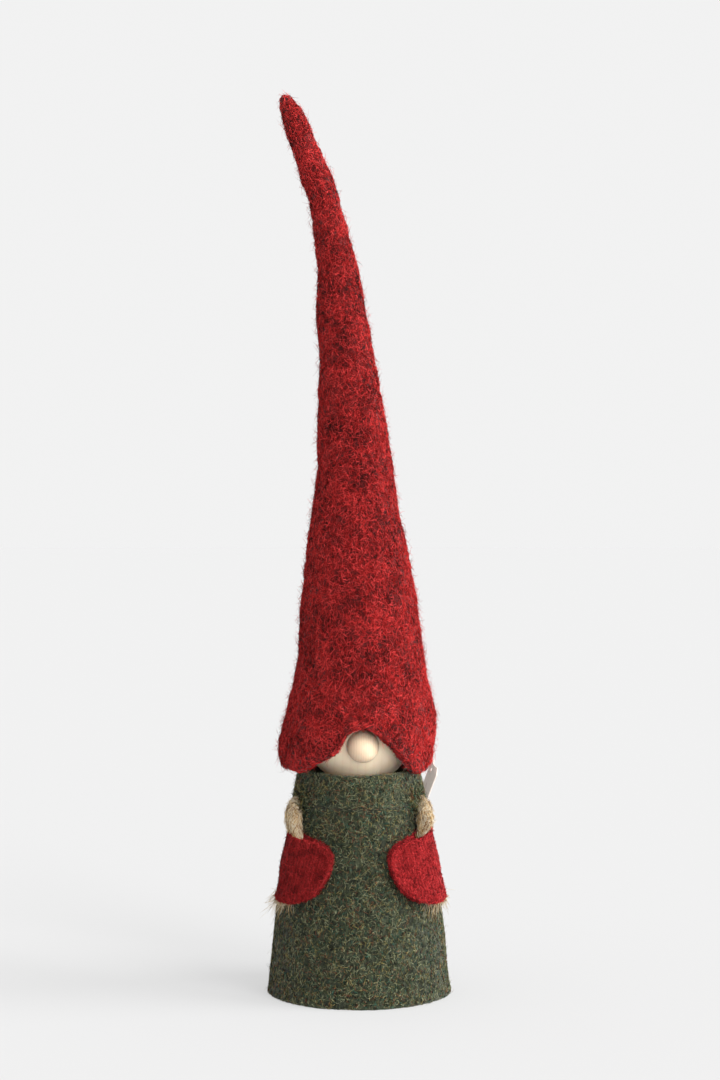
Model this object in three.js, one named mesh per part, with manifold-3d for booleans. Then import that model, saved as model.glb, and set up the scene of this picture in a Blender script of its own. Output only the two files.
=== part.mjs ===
// Felt-hatted gnome figurine: a cloth-covered wooden cone, a wooden ball head with a bead nose,
// two rope arms threaded through the cone, folded cloth mittens and a tall hollow felt hat.
// Millimetres, +Z up, origin at the centre of the base, the figure faces -Y.
import * as THREE from 'three';
import { mergeVertices } from 'three/addons/utils/BufferGeometryUtils.js';
import Module from 'manifold-3d';

// ---------- driving dimensions ----------
const fitGap = 0.3;          // clearance between pieces that touch
const baseRadius = 30;       // cloth surface at the floor
const neckRadius = 19.6;     // cloth surface at the top of the collar
const collarTop = 73.8;      // height of the collar's upper rim
const collarHeight = 10.8;   // width of the collar band
const bodySwell = 1.3;       // how far the cone's side bellies out at mid-height
const clothThickness = 2.0;  // coat cloth
const collarProud = 0.4;     // the collar stands this much outside the coat
const coreTopDrop = 5.2;     // the wooden cone ends this far below the collar's rim

const headDiameter = 38;
const noseDiameter = 10.8;
const noseDrop = 4.8;        // the nose sits below the ball's equator
const noseSide = 1.2;        // and a little to one side
const noseSink = 0.3;        // its centre lies this far inside the ball's surface
const nosePegDiameter = 2.4;
const nosePegDepth = 5;      // how far the peg goes into the head
const nosePegReach = 3;      // how far the peg goes into the nose
const dowelDiameter = 8;
const dowelInHead = 12;      // dowel depth in the ball
const dowelInBody = 16;      // dowel depth in the cone

const ropeDiameter = 5.2;
const shoulderRise = 0.6;    // the rope's cross hole is this far above the collar's lower edge
const shoulderAngle = 57;    // degrees round from the front, where the rope leaves the coat
const mittenCloth = 1.5;
const wristDrop = 7.1;       // from the shoulder down to the mitten
const mittenHeight = 24;     // along its fold
const mittenFoldAngle = 55;  // degrees round from the front to the fold
const mittenReach = 19;      // from the fold to the round inner edge, along the coat
const ropeTail = 4;          // frayed rope end that shows below the mitten

const feltWall = 4.9;        // thickness of the hat's felt round the head
const tipWall = 4.0;         // thickness of the felt high in the cone
const brimGap = 2.2;         // the hat's lower edge hangs this far above the collar
const hatEase = 1.1;         // play between the head's widest part and the felt
const archCover = 0.1;       // how far the brim comes down over the top of the nose
const archWidth = 27;        // degrees, half-width of the arch over the nose
const archSide = 3;          // degrees, the arch's middle
const archPush = 1.8;        // the nose pushes the felt this far forward
const hatStations = [        // height above the brim, sideways lean, share of the brim's radius
  [-6, -0.6, 1.0],
  [6, -0.7, 1.024],
  [17, 0.5, 0.972],
  [28, 0.5, 0.892],
  [42, 0, 0.808],
  [62, -0.4, 0.696],
  [82, -1.3, 0.584],
  [102, -1.7, 0.492],
  [122, -2.8, 0.416],
  [141, -4.9, 0.34],
  [157, -6.4, 0.28],
  [173, -8.4, 0.232],
  [189, -12.1, 0.2],
  [205, -17.8, 0.168],
  [217, -22.4, 0.124],
];
const hatLength = 222.5;     // brim to blunt tip
const hollowLength = 136;    // the hat is solid felt above this much of it

const tagWidth = 9;
const tagHeight = 11.5;
const tagThickness = 0.6;
const tagAngle = 106;        // degrees round from the front
const tagTilt = 14;          // degrees, the top leans away from the collar
const threadDiameter = 0.8;

const roundSegments = 40;    // sides of the big turned pieces
const smallSegments = 20;    // sides of pins and pegs
const ropeSegments = 10;
const ropeSteps = 12;

// ---------- sizes that follow from them ----------
const headRadius = headDiameter / 2;
const noseRadius = noseDiameter / 2;
const ropeRadius = ropeDiameter / 2;
const dowelRadius = dowelDiameter / 2;
const coreTop = collarTop - coreTopDrop;
const headHeight = coreTop + fitGap + headRadius;
const collarBottom = collarTop - collarHeight;
const shoulderHeight = collarBottom + shoulderRise;
const mittenTop = shoulderHeight - wristDrop;
const mittenBottom = mittenTop - mittenHeight;
const noseHeight = headHeight - noseDrop;
const noseFront = Math.sqrt((headRadius - noseSink) ** 2 - noseDrop ** 2 - noseSide ** 2);
const brimHeight = collarTop + brimGap;
const brimRadius = headRadius + hatEase + feltWall;
const archRise = noseHeight + noseRadius - archCover - brimHeight;
const hollowTop = brimHeight + hollowLength;
const hatTop = brimHeight + hatLength;
const mittenThin = 2 * mittenCloth + fitGap;
const mittenBulge = ropeRadius + fitGap + mittenCloth * 0.8;

// ---------- solids ----------
const wasm = await Module();
wasm.setup();

function toSolid(geometry) {
  const bare = geometry.clone();
  bare.deleteAttribute('normal');
  bare.deleteAttribute('uv');
  const merged = mergeVertices(bare, 1e-4);
  return new wasm.Manifold(new wasm.Mesh({
    numProp: 3,
    vertProperties: new Float32Array(merged.attributes.position.array),
    triVerts: new Uint32Array(merged.index.array),
  }));
}

function toGeometry(solid) {
  const mesh = solid.getMesh();
  const geometry = new THREE.BufferGeometry();
  geometry.setAttribute('position', new THREE.BufferAttribute(mesh.vertProperties, 3));
  geometry.setIndex(new THREE.BufferAttribute(mesh.triVerts, 1));
  geometry.computeVertexNormals();
  return geometry;
}

function cut(geometry, ...tools) {
  let solid = toSolid(geometry);
  for (const tool of tools) {
    solid = solid.subtract(toSolid(tool));
  }
  return toGeometry(solid);
}

function join(...geometries) {
  const solids = geometries.map(toSolid);
  return toGeometry(solids.reduce((whole, piece) => whole.add(piece)));
}

// ---------- shape helpers ----------
const lerp = THREE.MathUtils.lerp;
const radians = THREE.MathUtils.degToRad;

// Radius of the coat's outer surface at a height.
function coatRadius(z) {
  const t = z / collarTop;
  return lerp(baseRadius, neckRadius, t) + bodySwell * 4 * t * (1 - t);
}

// A point at an angle round from the front, towards +X when side is 1.
function around(angle, radius, z, side = 1) {
  const a = radians(angle);
  return new THREE.Vector3(side * radius * Math.sin(a), -radius * Math.cos(a), z);
}

// A solid of revolution about Z, from [radius, height] points that run up its outside.
function turned(points, segments = roundSegments) {
  const profile = points.map(([r, z]) => new THREE.Vector2(r, z));
  return new THREE.LatheGeometry(profile, segments).rotateX(Math.PI / 2);
}

function rod(radius, from, to, segments = smallSegments) {
  const along = new THREE.Vector3().subVectors(to, from);
  const geometry = new THREE.CylinderGeometry(radius, radius, along.length(), segments);
  const turn = new THREE.Quaternion().setFromUnitVectors(
    new THREE.Vector3(0, 1, 0),
    along.clone().normalize(),
  );
  geometry.applyQuaternion(turn);
  const middle = from.clone().add(to).multiplyScalar(0.5);
  return geometry.translate(middle.x, middle.y, middle.z);
}

function ball(radius, centre, segments = smallSegments) {
  return new THREE.SphereGeometry(radius, segments, Math.round(segments * 0.7))
    .translate(centre.x, centre.y, centre.z);
}

function tube(radius, points, steps = ropeSteps, sides = ropeSegments) {
  const section = new THREE.Shape().absarc(0, 0, radius, 0, 2 * Math.PI);
  return new THREE.ExtrudeGeometry(section, {
    steps,
    curveSegments: sides,
    extrudePath: new THREE.CatmullRomCurve3(points),
  });
}

const group = new THREE.Group();
group.name = 'gnome_figurine';

function addPiece(name, geometry, color, roughness) {
  const material = new THREE.MeshStandardMaterial({ color, roughness, metalness: 0 });
  const mesh = new THREE.Mesh(geometry, material);
  mesh.name = name;
  group.add(mesh);
}

// ---------- body ----------
// Heights where the cone's side is given a ring.
function sideHeights(bottom, top, count) {
  return Array.from({ length: count + 1 }, (_, i) => lerp(bottom, top, i / count));
}

// A cloth shell that follows the cone between two heights.
function clothShell(bottom, top, proud, rings) {
  const heights = sideHeights(bottom, top, rings);
  const outside = heights.map((z) => [coatRadius(z) + proud, z]);
  const inside = heights.reverse().map((z) => [coatRadius(z) - clothThickness, z]);
  return turned([...outside, ...inside, outside[0]]);
}

const shoulder = around(shoulderAngle, coatRadius(shoulderHeight) + collarProud
  + fitGap * 1.6 + ropeRadius, shoulderHeight);
const dowelBottom = coreTop - dowelInBody;
const dowelTop = headHeight - headRadius + dowelInHead;
const onAxis = (z) => new THREE.Vector3(0, 0, z);
const armHole = rod(
  ropeRadius + fitGap,
  new THREE.Vector3(-baseRadius, shoulder.y, shoulderHeight),
  new THREE.Vector3(baseRadius, shoulder.y, shoulderHeight),
);
const neckHole = rod(
  dowelRadius + fitGap,
  onAxis(dowelBottom - fitGap),
  onAxis(dowelTop + fitGap),
);

function bodyCore() {
  const side = sideHeights(0, coreTop, 6).map((z) => [coatRadius(z) - clothThickness - fitGap, z]);
  return cut(turned([[0, 0], ...side, [0, coreTop]]), neckHole, armHole);
}

addPiece('body_core', bodyCore(), 0xc9a878, 0.75);
addPiece('body_cloth', cut(clothShell(0, collarBottom - fitGap, 0, 6), armHole), 0x43483a, 0.95);
addPiece('collar_band', cut(clothShell(collarBottom, collarTop, collarProud, 2), armHole),
  0x454a3b, 0.95);
addPiece('neck_dowel', rod(dowelRadius, onAxis(dowelBottom), onAxis(dowelTop)), 0xd8bd90, 0.7);

// ---------- head ----------
const headCentre = onAxis(headHeight);
const noseCentre = new THREE.Vector3(noseSide, -noseFront, noseHeight);
const noseAxis = noseCentre.clone().sub(headCentre).normalize();
const pegInner = headCentre.clone().addScaledVector(noseAxis, headRadius - nosePegDepth);
const pegOuter = headCentre.clone().addScaledVector(noseAxis, headRadius + nosePegReach);
const pegHole = rod(
  nosePegDiameter / 2 + fitGap,
  pegInner.clone().addScaledVector(noseAxis, -fitGap),
  pegOuter.clone().addScaledVector(noseAxis, fitGap),
);
const headSeat = ball(headRadius + fitGap, headCentre, 36);

addPiece('head_ball', cut(ball(headRadius, headCentre, 32), neckHole, pegHole), 0xe6cfae, 0.55);
addPiece('nose', cut(ball(noseRadius, noseCentre, 24), headSeat, pegHole), 0xe9d3b3, 0.5);
addPiece('nose_peg', rod(nosePegDiameter / 2, pegInner, pegOuter, 12), 0xd8bd90, 0.7);

// ---------- arms and mittens ----------
// How far the rope's middle lies off the coat: against it above the mitten, and on the
// mitten's back layer inside it.
const ropeStandOff = fitGap + mittenBulge;

// Points down one arm, from the shoulder through the mitten's fold to the frayed end.
function armPoints(side) {
  const heights = [mittenTop + 2, mittenTop - 4, (mittenTop + mittenBottom) / 2, mittenBottom + 4];
  const angles = [shoulderAngle - 5, mittenFoldAngle - 8, mittenFoldAngle - 8, mittenFoldAngle - 7];
  const start = shoulder.clone();
  start.x *= side;
  const rest = heights.map((z, i) => around(angles[i], coatRadius(z) + ropeStandOff, z, side));
  const endHeight = mittenBottom - ropeTail;
  const end = around(mittenFoldAngle - 5, coatRadius(endHeight) + ropeStandOff, endHeight, side);
  return [start, ...rest, end];
}

// The cloth folded round the rope: a box whose faces are laid round the coat. Its fold is
// the outer edge, its other edge is round, and it is thick only where the rope lies.
function mittenGeometry(side) {
  const across = 12;
  const down = 10;
  const geometry = new THREE.BoxGeometry(1, 1, 1, across, down, 1);
  const position = geometry.attributes.position;
  const halfHeight = (mittenTop - mittenBottom) / 2;
  const middle = (mittenTop + mittenBottom) / 2;
  const blunt = 0.94;
  for (let i = 0; i < position.count; i += 1) {
    const u = position.getX(i) + 0.5;
    const v = position.getY(i) * 2;
    const outer = position.getZ(i) > 0;
    const width = mittenReach * (1 - 0.5 * Math.abs(v) ** 3);
    const inward = u ** 1.25 * width;
    const z = middle + v * halfHeight * (1 - 0.22 * u * u);
    const fromRope = Math.min(Math.abs(inward - mittenBulge), mittenBulge * blunt);
    const round = Math.sqrt(mittenBulge ** 2 - fromRope ** 2);
    const beyond = inward > mittenBulge;
    const low = beyond ? 0 : mittenBulge - round;
    const high = beyond ? Math.max(mittenBulge + round, mittenThin) : mittenBulge + round;
    const radius = coatRadius(z) + fitGap + (outer ? high : low);
    const angle = mittenFoldAngle - THREE.MathUtils.radToDeg(inward / (coatRadius(middle) + mittenThin));
    const point = around(angle, radius, z, side);
    position.setXYZ(i, point.x, point.y, point.z);
  }
  return geometry;
}

// A mirrored or turned-over shape comes out inside out; this puts its faces right.
function facingOut(geometry) {
  const bare = geometry.clone();
  bare.deleteAttribute('normal');
  bare.deleteAttribute('uv');
  const merged = mergeVertices(bare, 1e-4);
  const index = merged.index.array;
  const p = merged.attributes.position;
  const [a, b, c] = [new THREE.Vector3(), new THREE.Vector3(), new THREE.Vector3()];
  let volume = 0;
  for (let i = 0; i < index.length; i += 3) {
    a.fromBufferAttribute(p, index[i]);
    b.fromBufferAttribute(p, index[i + 1]);
    c.fromBufferAttribute(p, index[i + 2]);
    volume += a.dot(b.cross(c));
  }
  if (volume < 0) {
    for (let i = 0; i < index.length; i += 3) {
      [index[i], index[i + 1]] = [index[i + 1], index[i]];
    }
  }
  return merged;
}

const innerEnd = Math.abs(shoulder.x) - ropeRadius - fitGap;
addPiece('shoulder_rope', rod(
  ropeRadius,
  new THREE.Vector3(-innerEnd, shoulder.y, shoulderHeight),
  new THREE.Vector3(innerEnd, shoulder.y, shoulderHeight),
), 0xc7a57a, 0.95);

for (const [name, side] of [['left', -1], ['right', 1]]) {
  const points = armPoints(side);
  const rope = join(tube(ropeRadius, points), ball(ropeRadius, points[0]));
  const channelEnd = points.at(-1).clone().sub(points.at(-2)).setLength(4).add(points.at(-1));
  const channel = tube(ropeRadius + fitGap, [...points, channelEnd], ropeSteps + 2);
  addPiece(`${name}_arm_rope`, rope, 0xcbb08a, 0.95);
  addPiece(`${name}_mitten`, cut(facingOut(mittenGeometry(side)), channel), 0x8f2326, 0.9);
}

// ---------- hat ----------
const hatRings = hatStations.map(([rise, lean, share]) => new THREE.Vector3(
  lean,
  share * brimRadius,
  brimHeight + rise,
));
const hatTable = new THREE.CatmullRomCurve3(hatRings).getPoints(160);

// Lean and outer radius of the hat at a height.
function hatAt(z) {
  const next = Math.max(1, hatTable.findIndex((p) => p.z >= z));
  const below = hatTable[next - 1];
  const above = hatTable[next];
  const t = THREE.MathUtils.clamp((z - below.z) / (above.z - below.z), 0, 1);
  return { lean: lerp(below.x, above.x, t), radius: lerp(below.y, above.y, t) };
}

// Share of the arch over the nose that is felt at an angle round from the front.
function archShare(angle) {
  return Math.exp(-(((angle - archSide) / archWidth) ** 2));
}

function hatGeometry() {
  const outsideHeights = hatRings.map((ring) => ring.z).filter((z) => z > brimHeight);
  const topRing = hatRings.at(-1);
  const hollowSteps = 9;
  const edge = feltWall * 0.3;
  const wallAt = (z) => lerp(feltWall, tipWall, (z - brimHeight) / (hollowTop - brimHeight));
  const outside = [brimHeight + edge, ...outsideHeights].map((z) => [hatAt(z).radius, z]);
  const insideHeights = sideHeights(brimHeight + edge, hollowTop, hollowSteps).reverse();
  const inside = insideHeights.map((z, i) => [i === 0 ? 0 : hatAt(z).radius - wallAt(z), z]);
  const rim = hatAt(brimHeight).radius;
  const profile = [
    [rim - edge, brimHeight],
    ...outside,
    [topRing.y * 0.55, hatTop - 1.2],
    [0, hatTop],
  ];
  const hollow = [...inside, [rim - feltWall + edge, brimHeight]];
  const outer = profile.map(([r, z]) => new THREE.Vector2(r, z));
  const inner = hollow.map(([r, z]) => new THREE.Vector2(r, z));
  const geometry = new THREE.LatheGeometry([...outer, ...inner, outer[0]], 36).rotateX(Math.PI / 2);
  const position = geometry.attributes.position;
  const fade = 34;
  for (let i = 0; i < position.count; i += 1) {
    const x = position.getX(i);
    const y = position.getY(i);
    const z = position.getZ(i);
    const angle = THREE.MathUtils.radToDeg(Math.atan2(x, -y));
    const share = Math.max(0, 1 - (z - brimHeight) / fade);
    const arch = archShare(angle) * share ** 2;
    const lean = hatAt(Math.min(z, topRing.z)).lean;
    position.setXYZ(i, x + lean, y - archPush * arch, z + archRise * arch);
  }
  return facingOut(geometry);
}

addPiece('hat', hatGeometry(), 0x8f2a29, 0.95);

// ---------- hang tag ----------
const tagTopHeight = brimHeight - fitGap - 0.4;
const tagFoot = coatRadius(tagTopHeight - tagHeight) + collarProud + fitGap + tagThickness;

function placeTag(geometry) {
  geometry.rotateX(Math.PI / 2);
  geometry.rotateZ(Math.PI / 2);
  geometry.translate(0, 0, -tagHeight);
  geometry.rotateY(radians(tagTilt));
  geometry.rotateZ(radians(tagAngle - 90));
  const hang = around(tagAngle, tagFoot + tagHeight * Math.sin(radians(tagTilt)), tagTopHeight);
  return geometry.translate(hang.x, hang.y, hang.z);
}

function tagGeometry() {
  const half = tagWidth / 2;
  const corner = 2;
  const outline = new THREE.Shape([
    new THREE.Vector2(-half, 0),
    new THREE.Vector2(half, 0),
    new THREE.Vector2(half, tagHeight - corner),
    new THREE.Vector2(half - corner, tagHeight),
    new THREE.Vector2(corner - half, tagHeight),
    new THREE.Vector2(-half, tagHeight - corner),
  ]);
  outline.holes.push(new THREE.Path().absarc(0, tagHeight - 2, 0.9, 0, 2 * Math.PI));
  return placeTag(new THREE.ExtrudeGeometry(outline, {
    depth: tagThickness,
    bevelEnabled: false,
    curveSegments: 8,
  }));
}

function threadGeometry() {
  const level = collarTop + threadDiameter / 2 + fitGap;
  const neckGap = neckRadius - clothThickness - threadDiameter;
  const outside = neckRadius + collarProud + threadDiameter / 2 + fitGap;
  const points = [
    around(tagAngle + 8, neckGap - 0.8, coreTop + 2.4),
    around(tagAngle + 6, neckGap, level - 1.2),
    around(tagAngle + 4, neckGap + 1.4, level),
    around(tagAngle, outside, level - 0.1),
    around(tagAngle, outside + 0.3, level - 1.5),
  ];
  return tube(threadDiameter / 2, points, 10, 8);
}

addPiece('hang_tag', tagGeometry(), 0xe4dfd2, 0.8);
addPiece('tag_thread', threadGeometry(), 0xcfc6b4, 0.9);

export default group;
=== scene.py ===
"""Dresses a felt-hatted gnome figurine round its fixed frame: felt, tweed, rope, wood and paper.

All sizes are in metres, +Z up, and the figure faces -Y. Angles called "round" are degrees from
the front, positive towards +X.
"""

import logging
import math
from collections.abc import Callable
from dataclasses import dataclass, field, replace
from enum import Enum
from typing import Any

import bpy
import numpy as np
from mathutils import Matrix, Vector, noise
from mathutils.bvhtree import BVHTree
from mathutils.kdtree import KDTree


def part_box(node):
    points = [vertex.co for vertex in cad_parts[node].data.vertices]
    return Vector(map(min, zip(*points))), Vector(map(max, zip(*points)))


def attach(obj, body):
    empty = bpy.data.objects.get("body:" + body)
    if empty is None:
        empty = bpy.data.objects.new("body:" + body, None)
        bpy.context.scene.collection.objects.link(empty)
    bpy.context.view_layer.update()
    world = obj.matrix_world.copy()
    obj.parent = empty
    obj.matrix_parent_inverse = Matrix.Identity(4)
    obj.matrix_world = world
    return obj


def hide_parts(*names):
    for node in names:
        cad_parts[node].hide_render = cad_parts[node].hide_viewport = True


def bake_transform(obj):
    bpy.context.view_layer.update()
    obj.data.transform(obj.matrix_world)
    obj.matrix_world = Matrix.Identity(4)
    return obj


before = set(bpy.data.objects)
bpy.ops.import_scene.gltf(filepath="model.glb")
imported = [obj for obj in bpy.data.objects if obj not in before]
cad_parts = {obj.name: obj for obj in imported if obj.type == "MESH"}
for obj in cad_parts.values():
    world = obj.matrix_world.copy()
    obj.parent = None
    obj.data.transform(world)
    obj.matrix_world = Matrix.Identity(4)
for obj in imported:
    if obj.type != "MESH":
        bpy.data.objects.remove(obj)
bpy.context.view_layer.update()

LOG = logging.getLogger("gnome")
MM = 0.001
Colour = tuple[float, float, float]
Field = Callable[[np.ndarray], np.ndarray]


class Body(str, Enum):
    """The rigid bodies that pieces ride on."""

    TRUNK = "body"
    HAT = "hat"
    LEFT_ARM = "left_arm"
    RIGHT_ARM = "right_arm"


class Slot(str, Enum):
    """The record's material slots."""

    TURNED_WOOD = "turned_wood"
    PALE_WOOD = "pale_wood"
    COAT = "coat_cloth"
    ROPE = "jute_rope"
    MITTEN = "mitten_cloth"
    FELT = "red_felt"
    PAPER = "tag_paper"
    THREAD = "tag_thread"


# ---------------------------------------------------------------------------------------
# Shader maths
# ---------------------------------------------------------------------------------------
class Socket:
    """A value in a material's node tree that Python's operators work on."""

    def __init__(self, paint: "Paint", link: bpy.types.NodeSocket) -> None:
        """Wraps one output socket of a material."""
        self.paint = paint
        self.link = link

    def _math(self, operation: str, first: Any, second: Any) -> "Socket":
        """Adds one Math node."""
        return self.paint.node("ShaderNodeMath", {"operation": operation}, {0: first, 1: second})

    def __add__(self, other: Any) -> "Socket":
        """Adds."""
        return self._math("ADD", self, other)

    __radd__ = __add__

    def __mul__(self, other: Any) -> "Socket":
        """Multiplies."""
        return self._math("MULTIPLY", self, other)

    __rmul__ = __mul__

    def __sub__(self, other: Any) -> "Socket":
        """Subtracts."""
        return self._math("SUBTRACT", self, other)

    def __rsub__(self, other: Any) -> "Socket":
        """Subtracts this from a number."""
        return self._math("SUBTRACT", other, self)

    def __pow__(self, other: Any) -> "Socket":
        """Raises to a power."""
        return self._math("POWER", self, other)

    def over(self, low: float, high: float) -> "Socket":
        """Rises smoothly from 0 at low to 1 at high."""
        return self.paint.node(
            "ShaderNodeMapRange",
            {"interpolation_type": "SMOOTHSTEP"},
            {0: self, 1: low, 2: high, 3: 0.0, 4: 1.0},
        )


class Paint:
    """One material under construction."""

    def __init__(self, name: str) -> None:
        """Starts a material with an empty node tree and a Principled shader.

        Args:
            name: The material's name.
        """
        self.material = bpy.data.materials.new(name)
        self.material.use_nodes = True
        self.tree = self.material.node_tree
        self.tree.nodes.clear()
        self.output = self.tree.nodes.new("ShaderNodeOutputMaterial")
        self.shader = self.tree.nodes.new("ShaderNodeBsdfPrincipled")
        self.tree.links.new(self.shader.outputs[0], self.output.inputs["Surface"])
        place = self.tree.nodes.new("ShaderNodeTexCoord")
        self.place = Socket(self, place.outputs["Object"])

    def plug(self, target: bpy.types.NodeSocket, value: Any) -> None:
        """Links a socket, or sets its value."""
        if isinstance(value, Socket):
            self.tree.links.new(value.link, target)
        else:
            target.default_value = value

    def node(
        self,
        kind: str,
        settings: dict[str, Any],
        inputs: dict[Any, Any],
        output: int = 0,
    ) -> Socket:
        """Adds any node.

        Args:
            kind: The node's type.
            settings: Properties that are set first.
            inputs: Values or links by socket name or number.
            output: Which output is returned.

        Returns:
            The chosen output.
        """
        made = self.tree.nodes.new(kind)
        for key, value in settings.items():
            setattr(made, key, value)
        for key, value in inputs.items():
            self.plug(made.inputs[key], value)
        return Socket(self, made.outputs[output])

    def mix(self, share: Any, first: Any, second: Any) -> Socket:
        """Mixes two colours.

        Args:
            share: How much of the second.
            first: A colour or a link.
            second: A colour or a link.

        Returns:
            The mixed colour.
        """
        ends = [value if isinstance(value, Socket) else (*value, 1.0) for value in (first, second)]
        return self.node(
            "ShaderNodeMix",
            {"data_type": "RGBA"},
            {0: share, 6: ends[0], 7: ends[1]},
            output=2,
        )

    def grains(self, size: float, detail: float = 3.0, place: Socket | None = None) -> Socket:
        """Gives cloudy noise with blotches of a size, in metres."""
        return self.node(
            "ShaderNodeTexNoise",
            {},
            {"Vector": place or self.place, "Scale": 1.0 / size, "Detail": detail, "Roughness": 0.6},
        )

    def bump(self, height: Socket, distance: float, strength: float = 1.0) -> None:
        """Feeds a height to the shader's normal."""
        normal = self.node(
            "ShaderNodeBump",
            {},
            {"Height": height, "Distance": distance, "Strength": strength},
        )
        self.plug(self.shader.inputs["Normal"], normal)

    def finish(self, **values: Any) -> bpy.types.Material:
        """Sets the shader's sockets, named with underscores for spaces.

        Returns:
            The finished material.
        """
        for key, value in values.items():
            target = self.shader.inputs[key.replace("_", " ")]
            ready = (*value, 1.0) if isinstance(value, tuple) and target.type == "RGBA" else value
            self.plug(target, ready)
        return self.material


# ---------------------------------------------------------------------------------------
# Finishes
# ---------------------------------------------------------------------------------------
@dataclass(frozen=True)
class BlottedWool:
    """A matted wool ground that lies under loose fibres."""

    name: str
    dark: Colour
    bright: Colour
    fleck: Colour
    blotch: float
    hair: float

    def material(self) -> bpy.types.Material:
        """Builds the material."""
        paint = Paint(self.name)
        cloud = paint.grains(self.blotch).over(0.35, 0.68)
        strand = paint.grains(self.hair, 5.0)
        flecks = paint.grains(self.hair * 2.3, 2.0).over(0.6, 0.7)
        ground = paint.mix(cloud * 0.6 + strand.over(0.4, 0.62) * 0.4, self.dark, self.bright)
        paint.bump(strand, self.hair * 0.5)
        return paint.finish(
            Base_Color=paint.mix(flecks * 0.5, ground, self.fleck),
            Roughness=0.92 + strand * 0.08,
            Sheen_Weight=0.15,
            Specular_IOR_Level=0.2,
        )


@dataclass(frozen=True)
class Fibre:
    """One dyed shade of loose wool or jute fibre."""

    name: str
    colour: Colour
    paler: Colour
    share: float

    def material(self) -> bpy.types.Material:
        """Builds the material: the dye took unevenly along the fibre."""
        paint = Paint(self.name)
        dye = paint.grains(1.4 * MM, 2.0).over(0.38, 0.66)
        return paint.finish(
            Base_Color=paint.mix(dye, self.colour, self.paler),
            Roughness=0.85,
            Specular_IOR_Level=0.12,
        )


@dataclass(frozen=True)
class RibbedWool:
    """Woven wool cloth with fine upright ribs and darker cut edges; the darker edge colour is painted shade that damps
    the light the edges catch.
    """

    name: str
    dark: Colour
    bright: Colour
    edge: Colour
    rib: float

    def material(self) -> bpy.types.Material:
        """Builds the material from the cloth's own map, in metres along and across."""
        paint = Paint(self.name)
        cloth = paint.node("ShaderNodeUVMap", {"uv_map": "cloth"}, {})
        ribs = paint.node(
            "ShaderNodeTexWave",
            {"wave_type": "BANDS", "bands_direction": "X"},
            {"Vector": cloth, "Scale": 0.32 / self.rib, "Distortion": 2.5, "Detail": 2.0},
            output=1,
        )
        nap = paint.grains(0.5 * MM, 4.0)
        worn = paint.grains(3.5 * MM, 3.0).over(0.35, 0.7)
        rim = paint.node("ShaderNodeAttribute", {"attribute_name": "rim"}, {}, output=2)
        ground = paint.mix(ribs * 0.45 + nap.over(0.35, 0.7) * 0.3 + worn * 0.25, self.dark, self.bright)
        paint.bump(ribs * 0.5 + nap, 0.25 * MM)
        return paint.finish(
            # The rim mix darkens the cut edges: painted shade against the light they catch.
            Base_Color=paint.mix(rim * 0.7, ground, self.edge),
            Roughness=0.88 + nap * 0.1,
            Sheen_Weight=0.06,
            Specular_IOR_Level=0.1,
        )


@dataclass(frozen=True)
class Wood:
    """Bare sanded wood with growth rings about a turned axis."""

    name: str
    early: Colour
    late: Colour
    ring: float
    heart: Colour
    turn: Colour
    contrast: float

    def material(self) -> bpy.types.Material:
        """Builds the material."""
        paint = Paint(self.name)
        off = paint.node("ShaderNodeVectorMath", {"operation": "SUBTRACT"}, {0: paint.place, 1: self.heart})
        grain = paint.node("ShaderNodeMapping", {}, {0: off, "Rotation": self.turn, "Scale": (1.0, 1.0, 0.12)})
        rings = paint.node(
            "ShaderNodeTexWave",
            {"wave_type": "RINGS", "rings_direction": "Z", "wave_profile": "SAW"},
            {"Vector": grain, "Scale": 0.32 / self.ring, "Distortion": 1.6, "Detail": 2.0},
            output=1,
        )
        pores = paint.grains(0.35 * MM, 3.0, grain)
        cloud = paint.grains(9.0 * MM, 2.0)
        share = (rings ** 3.0 * 0.6 + pores.over(0.45, 0.75) * 0.25 + cloud * 0.15) * self.contrast
        paint.bump(pores * 0.4 + rings * 0.2, 0.05 * MM)
        return paint.finish(
            Base_Color=paint.mix(share, self.early, self.late),
            Roughness=0.5 + pores * 0.18,
            Specular_IOR_Level=0.35,
            Subsurface_Weight=0.35,
            Subsurface_Radius=(3.0 * MM, 1.6 * MM, 0.8 * MM),
            Subsurface_Scale=1.0,
        )


@dataclass(frozen=True)
class Paper:
    """Uncoated tag paper, thin enough for light to come through; its glow is painted light standing in for that light.
    """

    name: str
    sheet: Colour
    fleck: Colour
    glow: Colour
    through: float

    def material(self) -> bpy.types.Material:
        """Builds the material."""
        paint = Paint(self.name)
        pulp = paint.grains(0.6 * MM, 4.0)
        stain = paint.grains(5.0 * MM, 2.0).over(0.4, 0.8)
        paint.bump(pulp, 0.04 * MM)
        return paint.finish(
            Base_Color=paint.mix(pulp.over(0.55, 0.75) * 0.5 + stain * 0.3, self.sheet, self.fleck),
            Roughness=0.75 + pulp * 0.15,
            # Painted light: the paper glows to stand in for light coming through it.
            Emission_Color=self.glow,
            Emission_Strength=self.through,
        )


@dataclass(frozen=True)
class Floor:
    """The pale seamless floor and backdrop."""

    name: str
    shade: Colour
    glow: float

    def material(self) -> bpy.types.Material:
        """Builds the material."""
        return Paint(self.name).finish(
            Base_Color=self.shade,
            Roughness=0.95,
            Specular_IOR_Level=0.0,
            Emission_Color=(1.0, 1.0, 1.0),
            Emission_Strength=self.glow,
        )


# The felt under the loose fibres is darker than the fibres: painted shade for the gaps between them.
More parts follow.
